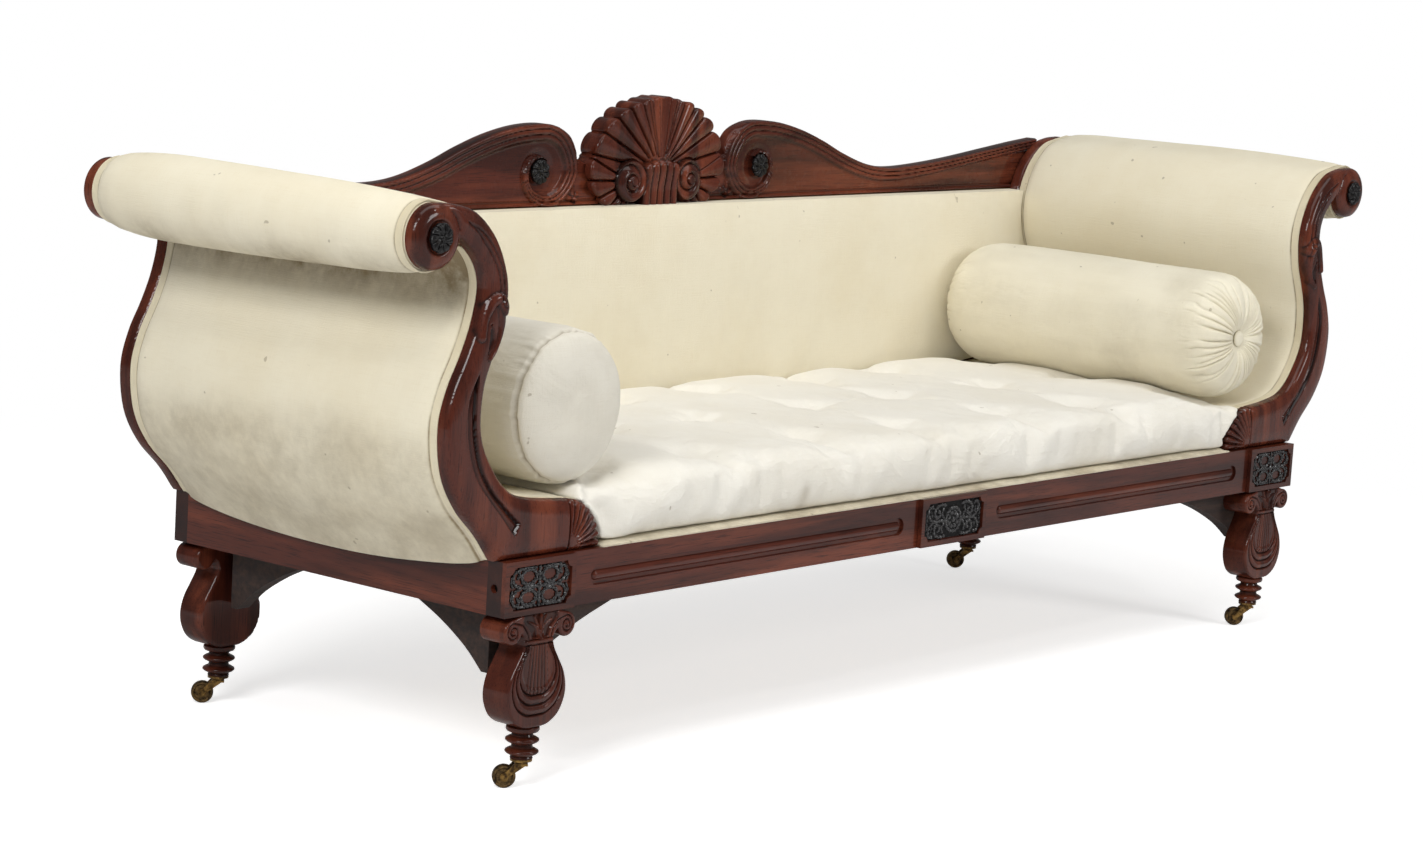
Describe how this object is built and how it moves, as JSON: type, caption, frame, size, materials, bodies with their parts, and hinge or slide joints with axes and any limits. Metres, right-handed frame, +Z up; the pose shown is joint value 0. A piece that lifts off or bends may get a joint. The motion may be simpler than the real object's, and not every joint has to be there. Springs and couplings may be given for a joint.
{
  "type": "double scroll-end settee",
  "caption": "Long settee with scrolled padded arms, a carved crest with a shell, lyre-shaped legs on casters, a loose squab and loose bolsters.",
  "frame": {"origin": "on the floor, under the middle of the whole piece", "axes": "+X along the settee to the right as seen from the front, -Y to the front, +Z up"},
  "size_m": [2.3874, 0.666, 0.87],
  "materials": {
    "polished_wood": "polished red-brown hardwood",
    "bracket_wood": "dark unpolished hardwood",
    "ebonised_wood": "black carved wood",
    "frame_timber": "plain sawn hardwood",
    "cover_cloth": "plain cream cotton",
    "squab_cloth": "plain cream cotton",
    "bolster_cloth": "plain cream cotton",
    "webbing": "jute webbing",
    "brass": "aged brass",
    "iron": "dark iron"
  },
  "bodies": {
    "frame": {"front_rail": "polished_wood", "back_rail": "polished_wood", "end_rail_left": "polished_wood", "end_rail_right": "polished_wood", "seat_cross_rails": "frame_timber", "block_left": "polished_wood", "block_centre": "polished_wood", "block_right": "polished_wood", "plaque_left": "ebonised_wood", "plaque_centre": "ebonised_wood", "plaque_right": "ebonised_wood", "frame_bolts": "iron", "leg_front_left": "polished_wood", "leg_front_right": "polished_wood", "leg_back_left": "polished_wood", "leg_back_right": "polished_wood", "turned_feet": "polished_wood", "leg_brackets": "bracket_wood", "glue_blocks": "frame_timber", "caster_plates": "brass", "caster_screws": "brass", "facing_front_left": "polished_wood", "facing_front_right": "polished_wood", "facing_back_left": "polished_wood", "facing_back_right": "polished_wood", "arm_rosettes": "ebonised_wood", "arm_frame_left": "frame_timber", "arm_frame_right": "frame_timber", "arm_pad_left": "cover_cloth", "arm_pad_right": "cover_cloth", "arm_cover_left": "cover_cloth", "arm_cover_right": "cover_cloth", "crest_board": "polished_wood", "crest_shell": "polished_wood", "crest_rosettes": "ebonised_wood", "back_posts": "frame_timber", "back_rails": "frame_timber", "back_pad": "cover_cloth", "back_cloth": "cover_cloth", "seat_webbing": "webbing", "seat_deck": "cover_cloth"},
    "horn_front_left": {"horn_front_left": "brass", "axle_front_left": "brass"},
    "wheel_front_left": {"wheel_front_left": "brass"},
    "horn_front_right": {"horn_front_right": "brass", "axle_front_right": "brass"},
    "wheel_front_right": {"wheel_front_right": "brass"},
    "horn_back_left": {"horn_back_left": "brass", "axle_back_left": "brass"},
    "wheel_back_left": {"wheel_back_left": "brass"},
    "horn_back_right": {"horn_back_right": "brass", "axle_back_right": "brass"},
    "wheel_back_right": {"wheel_back_right": "brass"},
    "squab": {"squab": "squab_cloth"},
    "bolster_left": {"bolster_left": "bolster_cloth"},
    "bolster_right": {"bolster_right": "bolster_cloth", "bolster_buttons": "bolster_cloth"}
  },
  "joints": [
    {"name": "swivel_front_left", "type": "hinge", "parent": "frame", "child": "horn_front_left", "pos_m": [-0.922, -0.31, 0.035], "axis": [0, 0, 1], "continuous": true},
    {"name": "roll_front_left", "type": "hinge", "parent": "horn_front_left", "child": "wheel_front_left", "pos_m": [-0.93809, -0.295, 0.016], "axis": [-0.682, -0.7314, 0], "continuous": true},
    {"name": "swivel_front_right", "type": "hinge", "parent": "frame", "child": "horn_front_right", "pos_m": [0.922, -0.31, 0.035], "axis": [0, 0, 1], "continuous": true},
    {"name": "roll_front_right", "type": "hinge", "parent": "horn_front_right", "child": "wheel_front_right", "pos_m": [0.90591, -0.295, 0.016], "axis": [-0.682, -0.7314, 0], "continuous": true},
    {"name": "swivel_back_left", "type": "hinge", "parent": "frame", "child": "horn_back_left", "pos_m": [-0.922, 0.288, 0.035], "axis": [0, 0, 1], "continuous": true},
    {"name": "roll_back_left", "type": "hinge", "parent": "horn_back_left", "child": "wheel_back_left", "pos_m": [-0.93809, 0.303, 0.016], "axis": [-0.682, -0.7314, 0], "continuous": true},
    {"name": "swivel_back_right", "type": "hinge", "parent": "frame", "child": "horn_back_right", "pos_m": [0.922, 0.288, 0.035], "axis": [0, 0, 1], "continuous": true},
    {"name": "roll_back_right", "type": "hinge", "parent": "horn_back_right", "child": "wheel_back_right", "pos_m": [0.90591, 0.303, 0.016], "axis": [-0.682, -0.7314, 0], "continuous": true},
    {"name": "squab_lift", "type": "slide", "parent": "frame", "child": "squab", "axis": [0, 0, 1], "range_m": [0, 0.12]},
    {"name": "bolster_lift_left", "type": "slide", "parent": "squab", "child": "bolster_left", "axis": [0, 0, 1], "range_m": [0, 0.2]},
    {"name": "bolster_lift_right", "type": "slide", "parent": "squab", "child": "bolster_right", "axis": [0, 0, 1], "range_m": [0, 0.2]}
  ]
}
